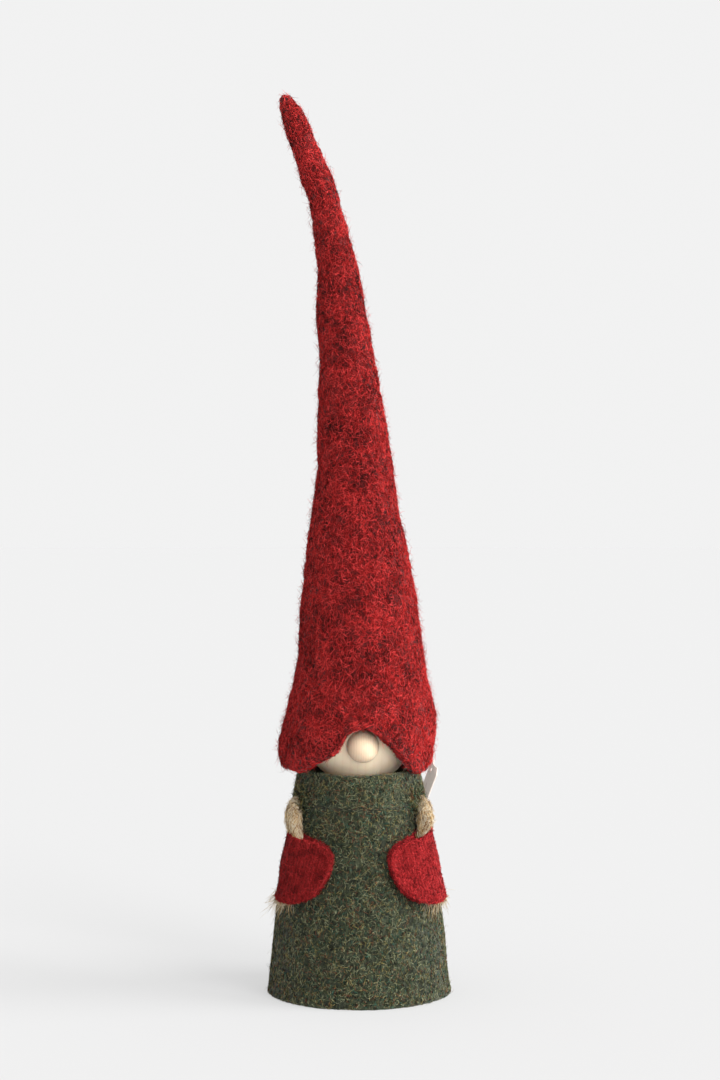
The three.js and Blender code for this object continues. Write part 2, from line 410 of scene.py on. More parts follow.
FELT_GROUND = BlottedWool(
    "felt_ground", (0.030, 0.002, 0.002), (0.168, 0.008, 0.008), (0.012, 0.002, 0.002), 7.0 * MM, 0.7 * MM
)
TWEED_GROUND = BlottedWool(
    "tweed_ground", (0.004, 0.005, 0.003), (0.042, 0.050, 0.027), (0.130, 0.125, 0.066), 1.6 * MM, 0.35 * MM
)
JUTE_GROUND = BlottedWool(
    "jute_ground", (0.252, 0.156, 0.066), (0.504, 0.396, 0.252), (0.120, 0.060, 0.024), 3.0 * MM, 0.5 * MM
)
# The edge colours are set low as painted shade for the cut edges, damping the light they catch.
MITTEN_CLOTH = RibbedWool(
    "mitten_wool", (0.090, 0.004, 0.005), (0.312, 0.016, 0.017), (0.210, 0.010, 0.011), 0.9 * MM
)
# Darker copy of the mitten cloth, for the left mitten: painted shade on the side away from the key light.
SHADED_MITTEN_CLOTH = RibbedWool(
    "shaded_mitten_wool", (0.060, 0.003, 0.003), (0.210, 0.010, 0.010), (0.150, 0.007, 0.007), 0.9 * MM
)
PALE_WOOD = Wood(
    "pale_maple", (0.90, 0.75, 0.56), (0.69, 0.49, 0.31), 2.6 * MM, (0.034, 0.0, 0.09), (1.5, 0.1, 0.0), 0.25
)
NOSE_WOOD = Wood(
    "nose_maple", (0.68, 0.53, 0.38), (0.42, 0.27, 0.15), 0.8 * MM, (-0.0065, -0.02, 0.084), (1.45, 0.1, 0.0), 0.55
)
CORE_WOOD = Wood(
    "turned_pine", (0.46, 0.33, 0.20), (0.28, 0.16, 0.08), 2.4 * MM, (0.01, 0.004, 0.0), (0.1, 0.05, 0.0), 0.8
)
# The tag's glow is painted light, standing in for light through the thin paper.
TAG_PAPER = Paper("tag_paper_fibre", (0.40, 0.345, 0.305), (0.31, 0.26, 0.22), (0.86, 0.78, 0.72), 0.34)
TAG_THREAD = BlottedWool(
    "twisted_thread", (0.210, 0.186, 0.144), (0.372, 0.342, 0.276), (0.180, 0.150, 0.108), 1.0 * MM, 0.2 * MM
)
STAGE_FLOOR = Floor("pale_floor", (0.22, 0.22, 0.22), 0.515)

FELT_FIBRES = (
    Fibre("felt_bright", (0.560, 0.034, 0.033), (0.640, 0.052, 0.049), 0.32),
    Fibre("felt_red", (0.317, 0.011, 0.010), (0.380, 0.015, 0.015), 0.30),
    Fibre("felt_deep", (0.120, 0.005, 0.005), (0.170, 0.008, 0.008), 0.18),
    Fibre("felt_maroon", (0.014, 0.003, 0.002), (0.036, 0.004, 0.004), 0.20),
)
TWEED_FIBRES = (
    Fibre("tweed_dark", (0.004, 0.005, 0.003), (0.010, 0.012, 0.006), 0.38),
    Fibre("tweed_moss", (0.044, 0.057, 0.023), (0.070, 0.086, 0.038), 0.23),
    Fibre("tweed_sage", (0.195, 0.203, 0.118), (0.285, 0.290, 0.172), 0.16),
    Fibre("tweed_teal", (0.021, 0.080, 0.055), (0.033, 0.108, 0.078), 0.08),
    Fibre("tweed_straw", (0.215, 0.172, 0.058), (0.290, 0.232, 0.092), 0.08),
    Fibre("tweed_rust", (0.160, 0.050, 0.024), (0.205, 0.073, 0.036), 0.07),
)
MITTEN_FIBRES = (
    Fibre("mitten_bright", (0.490, 0.030, 0.033), (0.550, 0.043, 0.047), 0.24),
    Fibre("mitten_red", (0.288, 0.012, 0.014), (0.340, 0.017, 0.019), 0.50),
    Fibre("mitten_deep", (0.076, 0.003, 0.004), (0.116, 0.005, 0.006), 0.26),
)
# Darker copies of the mitten fibres, for the left mitten: painted shade on the side away from the key light.
SHADED_MITTEN_FIBRES = (
    Fibre("shaded_mitten_bright", (0.293, 0.015, 0.016), (0.333, 0.022, 0.023), 0.24),
    Fibre("shaded_mitten_red", (0.174, 0.006, 0.006), (0.206, 0.008, 0.008), 0.50),
    Fibre("shaded_mitten_deep", (0.052, 0.002, 0.002), (0.079, 0.003, 0.003), 0.26),
)
JUTE_FIBRES = (
    Fibre("jute_pale", (0.516, 0.420, 0.282), (0.564, 0.492, 0.372), 0.56),
    Fibre("jute_gold", (0.420, 0.270, 0.114), (0.480, 0.336, 0.162), 0.31),
    Fibre("jute_brown", (0.120, 0.054, 0.018), (0.192, 0.090, 0.036), 0.13),
)


# ---------------------------------------------------------------------------------------
# Modelling helpers
# ---------------------------------------------------------------------------------------
def around(angle: float, radius: float, height: float) -> Vector:
    """Gives the point at an angle round from the front, a radius and a height."""
    turn = math.radians(angle)
    return Vector((radius * math.sin(turn), -radius * math.cos(turn), height))


def smooth_rows(rows: tuple[tuple[float, ...], ...], count: int) -> np.ndarray:
    """Runs a smooth curve through rows of numbers.

    Args:
        rows: The rows that the curve passes through.
        count: How many rows come back.

    Returns:
        Evenly spaced rows along the curve.
    """
    known = np.array(rows)
    padded = np.vstack([2 * known[0] - known[1], known, 2 * known[-1] - known[-2]])
    spans = np.linspace(0, len(known) - 1 - 1e-9, count)
    start = spans.astype(int)
    t = (spans - start)[:, None]
    a, b, c, d = (padded[start + step] for step in range(4))
    return 0.5 * (2 * b + (c - a) * t + (2 * a - 5 * b + 4 * c - d) * t**2 + (3 * b - a - 3 * c + d) * t**3)


def settle(made: bpy.types.Object, name: str) -> bpy.types.Object:
    """Names an object and moves its place into its mesh.

    Args:
        made: The object.
        name: Its name.

    Returns:
        The same object.
    """
    made.name = name
    made.data.name = name
    made.data.transform(made.matrix_world)
    made.matrix_world.identity()
    return made


def alone() -> None:
    """Deselects everything."""
    bpy.ops.object.select_all(action="DESELECT")


def pick(piece: bpy.types.Object) -> None:
    """Selects one object and makes it the active one."""
    alone()
    piece.select_set(True)
    bpy.context.view_layer.objects.active = piece


def applied(piece: bpy.types.Object, kind: str, **settings: Any) -> None:
    """Adds a modifier with settings and applies it."""
    pick(piece)
    modifier = piece.modifiers.new(kind.lower(), kind)
    for key, value in settings.items():
        setattr(modifier, key, value)
    bpy.ops.object.modifier_apply(modifier=modifier.name)


def points_of(mesh: bpy.types.Mesh) -> np.ndarray:
    """Reads a mesh's points."""
    points = np.empty(len(mesh.vertices) * 3)
    mesh.vertices.foreach_get("co", points)
    return points.reshape(-1, 3)


def moved(mesh: bpy.types.Mesh, points: np.ndarray) -> None:
    """Writes a mesh's points."""
    mesh.vertices.foreach_set("co", points.ravel())
    mesh.update()


def normals_of(mesh: bpy.types.Mesh) -> np.ndarray:
    """Reads the normals at a mesh's points."""
    normals = np.empty(len(mesh.vertices) * 3)
    mesh.vertices.foreach_get("normal", normals)
    return normals.reshape(-1, 3)


def lumpy(piece: bpy.types.Object, waves: tuple[tuple[float, float], ...], seed: float) -> None:
    """Moves a surface in and out by soft noise.

    Args:
        piece: The piece.
        waves: Pairs of wavelength and height.
        seed: Shifts the noise.
    """
    points = points_of(piece.data)
    normals = normals_of(piece.data)
    for length, height in waves:
        shift = Vector((seed, seed * 2.0, seed * 3.0))
        lift = [noise.noise(Vector(p) / length + shift) for p in points.tolist()]
        points = points + normals * (np.array(lift) * height)[:, None]
    points[:, 2] = np.maximum(points[:, 2], 0.0)
    moved(piece.data, points)


def smooth(piece: bpy.types.Object) -> None:
    """Shades a piece smooth, but for its sharp edges."""
    pick(piece)
    bpy.ops.object.shade_smooth_by_angle(angle=math.radians(50))


def outward(piece: bpy.types.Object) -> None:
    """Merges doubles and turns all faces outwards."""
    pick(piece)
    bpy.ops.object.mode_set(mode="EDIT")
    bpy.ops.mesh.select_all(action="SELECT")
    bpy.ops.mesh.remove_doubles(threshold=1e-6)
    bpy.ops.mesh.normals_make_consistent(inside=False)
    bpy.ops.object.mode_set(mode="OBJECT")


def grid(name: str, columns: int, rows: int, shape: Callable[[np.ndarray, np.ndarray], np.ndarray]) -> bpy.types.Object:
    """Adds a grid and lays it out as a sheet.

    Args:
        name: The sheet's name.
        columns: Cells across.
        rows: Cells up.
        shape: Turns across and up, each 0 to 1, into points.

    Returns:
        The sheet, one layer thick.
    """
    alone()
    bpy.ops.mesh.primitive_grid_add(x_subdivisions=columns, y_subdivisions=rows, size=1.0)
    sheet = settle(bpy.context.object, name)
    flat = points_of(sheet.data)
    moved(sheet.data, shape(flat[:, 0] + 0.5, flat[:, 1] + 0.5))
    return sheet


def dress(
    piece: bpy.types.Object,
    finish: Any,
    body: Body | None,
    stands_for: tuple[str, ...] = (),
) -> bpy.types.Object:
    """Gives a piece its material, the body it rides on and the nodes it replaces.

    Args:
        piece: The piece.
        finish: Its finish, or a tuple of finishes.
        body: The body, or None for a piece left without one.
        stands_for: CAD nodes that it replaces.

    Returns:
        The same piece.
    """
    for each in finish if isinstance(finish, tuple) else (finish,):
        piece.data.materials.append(each.material())
    if body:
        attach(piece, body.value)
    if stands_for:
        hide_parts(*stands_for)
    LOG.info("%s: %d faces on %s", piece.name, len(piece.data.polygons), body.value if body else "two bodies")
    return piece


def sweep(
    name: str,
    path: np.ndarray,
    sides: int,
    radius: Callable[[np.ndarray, np.ndarray], np.ndarray],
) -> bpy.types.Object:
    """Makes a closed tube along a path.

    Args:
        name: The tube's name.
        path: Points along its middle.
        sides: Faces round it.
        radius: Radius from the angle round the tube and the distance along it.

    Returns:
        The tube.
    """
    tangents = np.gradient(path, axis=0)
    tangents /= np.linalg.norm(tangents, axis=1)[:, None]
    across = np.cross(tangents[0], (0.3, 0.9, 0.2))
    run = np.concatenate([[0], np.cumsum(np.linalg.norm(np.diff(path, axis=0), axis=1))])
    angles = np.linspace(0, 2 * np.pi, sides, endpoint=False)
    rings = []
    for middle, tangent, distance in zip(path, tangents, run):
        across = across - tangent * np.dot(across, tangent)
        across /= np.linalg.norm(across)
        other = np.cross(tangent, across)
        size = radius(angles, np.full(sides, distance))[:, None]
        ring = np.cos(angles)[:, None] * across + np.sin(angles)[:, None] * other
        rings.append(middle + ring * size)
    count = len(path)
    faces = [
        (r * sides + s, r * sides + (s + 1) % sides, (r + 1) * sides + (s + 1) % sides, (r + 1) * sides + s)
        for r in range(count - 1)
        for s in range(sides)
    ]
    faces.append(tuple(reversed(range(sides))))
    faces.append(tuple((count - 1) * sides + s for s in range(sides)))
    mesh = bpy.data.meshes.new(name)
    mesh.from_pydata(np.vstack(rings).tolist(), [], faces)
    tube = bpy.data.objects.new(name, mesh)
    bpy.context.scene.collection.objects.link(tube)
    outward(tube)
    smooth(tube)
    return tube


# ---------------------------------------------------------------------------------------
# Loose fibres
# ---------------------------------------------------------------------------------------
@dataclass(frozen=True)
class Pile:
    """How loose fibres lie on a surface.

    Args:
        count: Number of fibres.
        length: Mean length.
        width: Thickness at the root.
        lift: How high the middle of a fibre stands off the surface.
        tip: How high the free end stands.
        spread: How far fibres stray from the grain, in degrees.
        curl: How much a fibre turns along its length, in degrees.
        seed: Seed of the random draws.
        joints: Points along a fibre.
    """

    count: int
    length: float
    width: float
    lift: float
    tip: float
    spread: float
    curl: float
    seed: int
    joints: int = 4


class Fuzz:
    """Grows fibres over a surface."""

    sides = 3

    def __init__(self, surface: bpy.types.Object, grain: Field, inside: Field) -> None:
        """Reads the surface.

        Args:
            surface: The piece that the fibres lie on.
            grain: Gives the grain's direction at points.
            inside: Tells which triangles, by their middles, carry fibres.
        """
        mesh = surface.data
        mesh.calc_loop_triangles()
        corners = np.empty(len(mesh.loop_triangles) * 3, dtype=np.int64)
        mesh.loop_triangles.foreach_get("vertices", corners)
        self.points = points_of(mesh)
        triangles = corners.reshape(-1, 3)
        self.tree = BVHTree.FromPolygons(self.points.tolist(), triangles.tolist())
        kept = triangles[inside(self.points[triangles].mean(axis=1))]
        self.a, self.b, self.c = (self.points[kept[:, i]] for i in range(3))
        self.normal = np.cross(self.b - self.a, self.c - self.a)
        size = np.linalg.norm(self.normal, axis=1)
        self.normal /= np.maximum(size, 1e-15)[:, None]
        self.weight = size / size.sum()
        self.grain = grain

    def laid(self, pile: Pile) -> tuple[np.ndarray, np.ndarray]:
        """Lays the fibres' middles on the surface.

        Args:
            pile: How they lie.

        Returns:
            Points by fibre and joint, and each fibre's thickness.
        """
        rng = np.random.default_rng(pile.seed)
        chosen = rng.choice(len(self.weight), size=pile.count, p=self.weight)
        u, v = rng.random((2, pile.count))
        over = u + v > 1
        u[over], v[over] = 1 - u[over], 1 - v[over]
        a, b, c = self.a[chosen], self.b[chosen], self.c[chosen]
        root = a + (b - a) * u[:, None] + (c - a) * v[:, None]
        normal = self.normal[chosen]
        along = self.grain(root)
        along = along - normal * (along * normal).sum(axis=1)[:, None]
        along /= np.linalg.norm(along, axis=1)[:, None] + 1e-12
        side = np.cross(normal, along)
        angle = np.radians(rng.normal(0, pile.spread, pile.count)) + np.pi * (rng.random(pile.count) < 0.5)
        bend = np.radians(rng.normal(0, pile.curl, pile.count)) / pile.joints
        length = pile.length * rng.uniform(0.55, 1.35, pile.count)
        tip = pile.tip * rng.random(pile.count) ** 2
        lift = pile.lift * rng.uniform(0.2, 1.0, pile.count)
        step = length / (pile.joints - 1)
        laid = np.empty((pile.count, pile.joints, 3))
        spot = root.copy()
        for joint in range(pile.joints):
            t = joint / (pile.joints - 1)
            height = lift * math.sin(math.pi * t) + tip * t**2 - pile.width * 0.5 * (1 - t)
            for i, where in enumerate(spot.tolist()):
                near, facing, _, _ = self.tree.find_nearest(where)
                laid[i, joint] = near + facing * height[i]
            spot = spot + (along * np.cos(angle)[:, None] + side * np.sin(angle)[:, None]) * step[:, None]
            angle = angle + bend
        laid[..., 2] = np.maximum(laid[..., 2], pile.width)
        return laid, pile.width * rng.uniform(0.6, 1.25, pile.count)

    def grow(self, name: str, pile: Pile, shades: tuple[Fibre, ...], mottle: float = 0.0) -> bpy.types.Object:
        """Makes one piece of fibres.

        Args:
            name: The piece's name.
            pile: How the fibres lie.
            shades: The fibres' colours and how common each is.
            mottle: Size of the patches where darker or paler shades gather.

        Returns:
            The piece, with one material index for each shade.
        """
        laid, width = self.laid(pile)
        return strands(name, laid, width, self.shade(laid, shades, mottle, pile.seed))

    def shade(self, laid: np.ndarray, shades: tuple[Fibre, ...], mottle: float, seed: int) -> np.ndarray:
        """Picks each fibre's shade."""
        rng = np.random.default_rng(seed + 1)
        draw = rng.random(len(laid))
        if mottle:
            cloud = [noise.noise(Vector(p) / mottle) for p in laid[:, 1].tolist()]
            draw = np.clip(draw + np.array(cloud) * 0.4, 0, 0.999)
        steps = np.cumsum([each.share for each in shades])
        return np.searchsorted(steps / steps[-1], draw).clip(0, len(shades) - 1)


def strands(name: str, laid: np.ndarray, width: np.ndarray, shade: np.ndarray) -> bpy.types.Object:
    """Turns middles of fibres into thin closed tapering strands.

    Args:
        name: The piece's name.
        laid: Points by fibre and joint.
        width: Thickness of each fibre.
        shade: Material index of each fibre.

    Returns:
        One mesh of all the strands.
    """
    count, joints, _ = laid.shape
    sides = Fuzz.sides
    tangent = np.gradient(laid, axis=1)
    tangent /= np.linalg.norm(tangent, axis=2)[..., None] + 1e-12
    across = np.cross(tangent, np.array([0.31, 0.52, 0.79]))
    across /= np.linalg.norm(across, axis=2)[..., None] + 1e-12
    other = np.cross(tangent, across)
    taper = np.linspace(1.0, 0.45, joints)[None, :, None] * width[:, None, None] * 0.5
    rings = [
        laid[:, :-1] + ((across * math.cos(a) + other * math.sin(a)) * taper)[:, :-1]
        for a in np.arange(sides) * 2 * math.pi / sides
    ]
    body = np.stack(rings, axis=2).reshape(count, (joints - 1) * sides, 3)
    points = np.concatenate([body, laid[:, -1:]], axis=1)
    each = points.shape[1]
    quads = [
        (r * sides + s, r * sides + (s + 1) % sides, (r + 1) * sides + (s + 1) % sides, (r + 1) * sides + s)
        for r in range(joints - 2)
        for s in range(sides)
    ]
    last = (joints - 2) * sides
    triangles = [(last + s, last + (s + 1) % sides, each - 1) for s in range(sides)]
    triangles.append(tuple(reversed(range(sides))))
    loops = np.array([i for face in quads + triangles for i in face])
    sizes = np.array([len(face) for face in quads + triangles])
    offsets = np.arange(count)[:, None]
    starts = np.concatenate([[0], np.cumsum(sizes)[:-1]])
    mesh = bpy.data.meshes.new(name)
    mesh.vertices.add(count * each)
    mesh.loops.add(count * len(loops))
    mesh.polygons.add(count * len(sizes))
    mesh.vertices.foreach_set("co", points.ravel())
    mesh.loops.foreach_set("vertex_index", (loops[None] + offsets * each).ravel())
    mesh.polygons.foreach_set("loop_start", (starts[None] + offsets * len(loops)).ravel())
    mesh.polygons.foreach_set("material_index", np.repeat(shade, len(sizes)))
    mesh.polygons.foreach_set("use_smooth", np.ones(count * len(sizes), dtype=bool))
    mesh.update(calc_edges=True)
    piece = bpy.data.objects.new(name, mesh)
    bpy.context.scene.collection.objects.link(piece)
    return piece


def upright(points: np.ndarray) -> np.ndarray:
    """A grain that runs straight up."""
    return np.tile((0.0, 0.0, 1.0), (len(points), 1))


def everywhere(middles: np.ndarray) -> np.ndarray:
    """Marks every triangle."""
    return np.ones(len(middles), dtype=bool)


# ---------------------------------------------------------------------------------------
# Trunk: wooden cone, coat and collar
# ---------------------------------------------------------------------------------------
@dataclass
class Trunk:
    """The cone with its coat and collar, and the surface that everything on it follows."""

    base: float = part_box("body_cloth")[1][0]
    top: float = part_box("collar_band")[1][2]
    seam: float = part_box("body_cloth")[1][2]
    collar_foot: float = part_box("collar_band")[0][2]
    neck: float = 19.6 * MM
    swell: float = 1.3 * MM
    cloth: float = 2.0 * MM
    proud: float = 0.4 * MM
    flap: float = 2.1 * MM
    flare: float = 0.5 * MM
    shoulder_y: float = (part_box("shoulder_rope")[0][1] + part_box("shoulder_rope")[1][1]) / 2 + 5.0 * MM
    shoulder_z: float = (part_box("shoulder_rope")[0][2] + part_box("shoulder_rope")[1][2]) / 2

    def radius(self, height: Any) -> Any:
        """Gives the coat's outer radius at a height."""
        t = height / self.top
        return self.base + (self.neck - self.base) * t + self.swell * 4 * t * (1 - t)

    def wrap(self, across: np.ndarray, heights: np.ndarray, extra: float) -> np.ndarray:
        """Lays cloth round the cone, with one end lapped over the other at the back.

        Args:
            across: 0 to 1 along the cloth.
            heights: Height of each point.
            extra: How far the cloth's middle lies outside the coat's middle.

        Returns:
            The points.
        """
        angle = np.radians(-184 + 371 * across)
        lap = np.clip((np.degrees(angle) - 160) / 16, 0, 1)
        lap = lap * lap * (3 - 2 * lap) * self.flap
        foot = self.flare * np.exp(-heights / (1.5 * MM))
        radius = self.radius(heights) - self.cloth / 2 + extra + lap + foot
        return np.stack([radius * np.sin(angle), -radius * np.cos(angle), heights], axis=1)

    def rope_hole(self) -> bpy.types.Object:
        """Makes the cutter for the hole that the rope comes out of."""
        alone()
        bpy.ops.mesh.primitive_cylinder_add(
            vertices=32,
            radius=2.9 * MM,
            depth=2.2 * self.base,
            location=(0, self.shoulder_y, self.shoulder_z),
            rotation=(0, math.pi / 2, 0),
        )
        return settle(bpy.context.object, "rope_hole_cutter")

    def sewn(self, sheet: bpy.types.Object, seed: float) -> None:
        """Gives a wrapped sheet its thickness, soft edges, rope holes and uneven surface."""
        applied(sheet, "SOLIDIFY", thickness=self.cloth, offset=0.0)
        applied(sheet, "BEVEL", width=0.55 * MM, segments=2, limit_method="ANGLE", angle_limit=1.0)
        cutter = self.rope_hole()
        applied(sheet, "BOOLEAN", operation="DIFFERENCE", object=cutter, solver="EXACT")
        bpy.data.objects.remove(cutter)
        outward(sheet)
        lumpy(sheet, ((13 * MM, 0.25 * MM), (2.2 * MM, 0.16 * MM)), seed)
        smooth(sheet)

    def build_coat(self) -> bpy.types.Object:
        """Builds the coat."""
        coat = grid("coat", 230, 64, lambda u, v: self.wrap(u, v * (self.seam + 0.1 * MM), 0.0))
        self.sewn(coat, 1.3)
        dress(coat, TWEED_GROUND, Body.TRUNK, ("body_cloth",))
        return coat

    def build_collar(self) -> bpy.types.Object:
        """Builds the collar band."""
        tall = self.top - self.collar_foot

        def band(across: np.ndarray, up: np.ndarray) -> np.ndarray:
            """Lays the band with a faint wave along its rim."""
            wave = 0.25 * MM * np.sin(across * 23) * up
            return self.wrap(across, self.collar_foot + up * tall + wave, self.proud)

        collar = grid("collar", 210, 14, band)
        self.sewn(collar, 4.1)
        dress(collar, TWEED_GROUND, Body.TRUNK, ("collar_band",))
        return collar

    def outside(self, middles: np.ndarray) -> np.ndarray:
        """Marks the triangles on the outer face and the rims."""
        reach = np.hypot(middles[:, 0], middles[:, 1])
        return reach > self.radius(middles[:, 2]) - 0.7 * MM

    def build_through_rope(self) -> None:
        """Builds the rope that runs through the cone from one arm to the other."""
        reach = self.radius(self.shoulder_z) - self.cloth - 2.5 * MM
        path = np.linspace((-reach, self.shoulder_y, self.shoulder_z), (reach, self.shoulder_y, self.shoulder_z), 40)

        def relief(angle: np.ndarray, distance: np.ndarray) -> np.ndarray:
            """Gives the rope's radius with its strands standing out."""
            return 2.6 * MM * (0.8 + 0.14 * np.abs(np.cos(1.5 * (angle - 420.0 * distance))))

        rope = sweep("through_rope", path, 24, relief)
        dress(rope, JUTE_GROUND, Body.TRUNK, ("shoulder_rope",))

    def by_hole(self, middles: np.ndarray) -> np.ndarray:
        """Marks the triangles of the outer face round the rope's holes, towards the front."""
        away = np.hypot(middles[:, 1] - self.shoulder_y + 1.5 * MM, middles[:, 2] - self.shoulder_z)
        return self.outside(middles) & (away < 5.0 * MM) & (np.abs(middles[:, 0]) > 10 * MM)

    def build_nap(self, coat: bpy.types.Object, collar: bpy.types.Object) -> None:
        """Grows the short wool nap and some longer hairs."""
        hairs = Pile(1500, 4.0 * MM, 0.09 * MM, 0.45 * MM, 2.0 * MM, 60, 160, 21, 7)
        for part, source, count, batches in (("coat", coat, 14000, 3), ("collar", collar, 6600, 1)):
            ground = Fuzz(source, upright, self.outside)
            for batch in range(batches):
                nap = Pile(count, 1.9 * MM, 0.18 * MM, 0.26 * MM, 0.6 * MM, 60, 150, 11 + batch + 3 * batches, 3)
                piece = ground.grow(f"{part}_nap_{batch + 1}", nap, TWEED_FIBRES)
                dress(piece, TWEED_FIBRES, Body.TRUNK)
            piece = ground.grow(f"{part}_hairs", replace(hairs, count=hairs.count * count // 14000), TWEED_FIBRES[2:])
            dress(piece, TWEED_FIBRES[2:], Body.TRUNK)
            ground = Fuzz(source, upright, self.by_hole)
            ruffle = ground.grow(f"{part}_ruffle", Pile(420, 3.6 * MM, 0.2 * MM, 1.2 * MM, 3.6 * MM, 60, 120, 5, 5), TWEED_FIBRES)
            dress(ruffle, TWEED_FIBRES, Body.TRUNK)

    def build(self) -> None:
        """Builds and dresses the trunk."""
        coat = self.build_coat()
        collar = self.build_collar()
        self.build_nap(coat, collar)
        self.build_through_rope()
        for node in ("body_core", "neck_dowel"):
            paint_node(node, CORE_WOOD)


def paint_node(name: str, finish: Any) -> None:
    """Gives a carried-over CAD node a finish."""
    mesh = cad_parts[name].data
    mesh.materials.clear()
    mesh.materials.append(finish.material())


# ---------------------------------------------------------------------------------------
# Head
# ---------------------------------------------------------------------------------------
@dataclass
class Head:
    """The wooden ball with its bead nose."""

    radius: float = (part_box("head_ball")[1][0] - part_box("head_ball")[0][0]) / 2
    height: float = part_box("head_ball")[1][2] - (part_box("head_ball")[1][0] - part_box("head_ball")[0][0]) / 2
    bore: float = 4.3 * MM
    bore_depth: float = 12.0 * MM
    nose_radius: float = (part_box("nose")[1][0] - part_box("nose")[0][0]) / 2

    def nose_centre(self) -> Vector:
        """Gives the middle of the bead, from the nose node's front, top and sides."""
        low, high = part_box("nose")
        return Vector(((low[0] + high[0]) / 2, low[1] + self.nose_radius, low[2] + self.nose_radius))

    def sphere(self, name: str, radius: float, centre: Vector, segments: int) -> bpy.types.Object:
        """Adds a ball with its poles to the sides."""
        alone()
        bpy.ops.mesh.primitive_uv_sphere_add(
            segments=segments,
            ring_count=segments // 2,
            radius=radius,
            location=centre,
        )
        return settle(bpy.context.object, name)

    def build_ball(self) -> bpy.types.Object:
        """Builds the ball: a flat where the dowel's bore goes in, and the bore."""
        centre = Vector((0, 0, self.height))
        ball = self.sphere("wooden_head", self.radius, centre, 112)
        flat = self.height - math.sqrt(self.radius**2 - self.bore**2)
        pick(ball)
        bpy.ops.object.mode_set(mode="EDIT")
        bpy.ops.mesh.select_all(action="SELECT")
        bpy.ops.mesh.bisect(plane_co=(0, 0, flat), plane_no=(0, 0, 1), use_fill=True, clear_inner=True)
        bpy.ops.object.mode_set(mode="OBJECT")
        for face in ball.data.polygons:
            face.select = abs(face.center.z - flat) < 0.01 * MM and abs(face.normal.z) > 0.99
        bpy.ops.object.mode_set(mode="EDIT")
        bpy.ops.mesh.select_mode(type="FACE")
        bpy.ops.mesh.extrude_region_move(TRANSFORM_OT_translate={"value": (0, 0, self.bore_depth)})
        bpy.ops.object.mode_set(mode="OBJECT")
        outward(ball)
        lumpy(ball, ((16 * MM, 0.12 * MM),), 2.2)
        smooth(ball)
        return dress(ball, PALE_WOOD, Body.TRUNK, ("head_ball",))

    def build_nose(self) -> bpy.types.Object:
        """Builds the bead, hollowed at the back where it sits on the ball."""
        nose = self.sphere("bead_nose", self.nose_radius, self.nose_centre(), 64)
        seat = self.sphere("nose_seat", self.radius + 0.05 * MM, Vector((0, 0, self.height)), 96)
        applied(nose, "BOOLEAN", operation="DIFFERENCE", object=seat, solver="EXACT")
        bpy.data.objects.remove(seat)
        lumpy(nose, ((6 * MM, 0.14 * MM),), 5.2)
        smooth(nose)
        return dress(nose, NOSE_WOOD, Body.TRUNK, ("nose",))

    def build(self) -> None:
        """Builds and dresses the head."""
        self.build_ball()
        self.build_nose()
        paint_node("nose_peg", CORE_WOOD)


